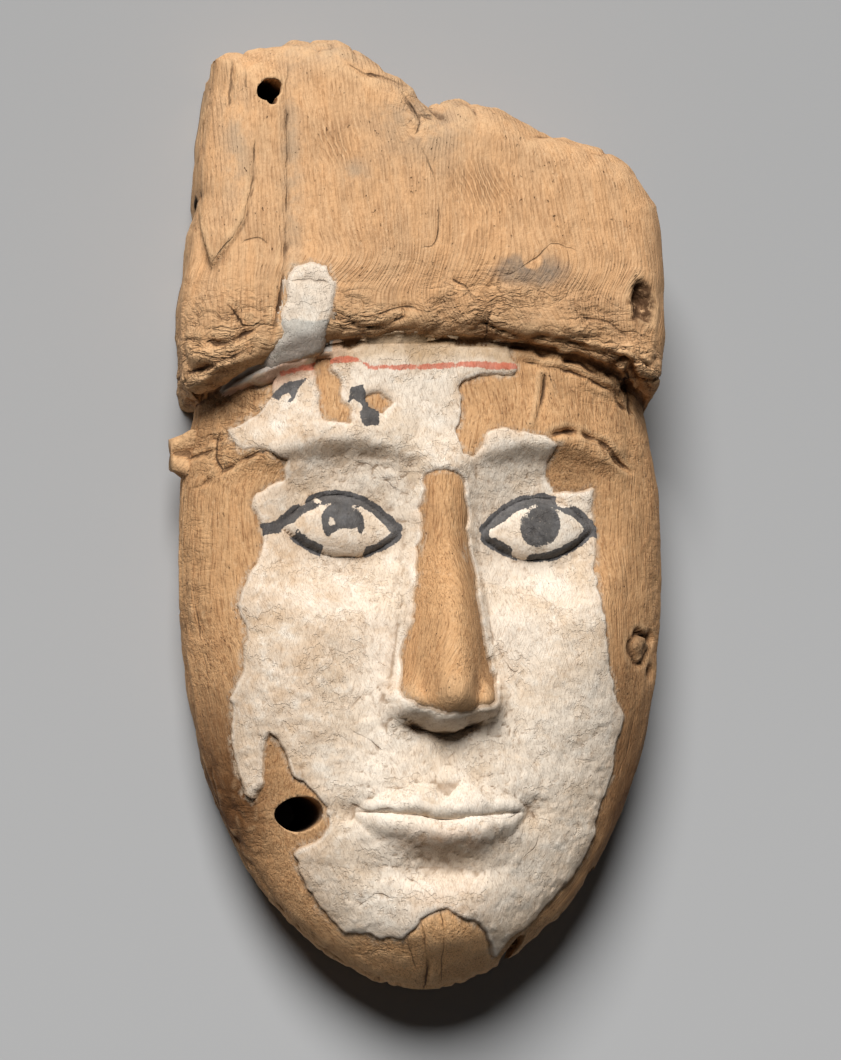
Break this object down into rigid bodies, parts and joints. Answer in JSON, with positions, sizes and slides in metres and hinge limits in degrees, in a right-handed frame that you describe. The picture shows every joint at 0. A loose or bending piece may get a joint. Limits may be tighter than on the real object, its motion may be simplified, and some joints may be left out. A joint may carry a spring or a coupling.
{
  "type": "egyptian sarcophagus mask",
  "caption": "Carved wooden coffin mask with a calm face under a broken headdress front and torn remains of white gesso, lying on its flat back.",
  "frame": {"origin": "under the middle of the mask, on the plane of its flat back", "axes": "+Z comes out of the face, +Y runs from the chin up to the headdress, +X is the right of someone who looks at the face"},
  "size_m": [0.1514, 0.2838, 0.0756],
  "materials": {
    "wood": "matte",
    "gesso": "matte"
  },
  "bodies": {
    "root": {"carved_wood": "wood", "gesso_coat": "gesso"}
  },
  "joints": []
}
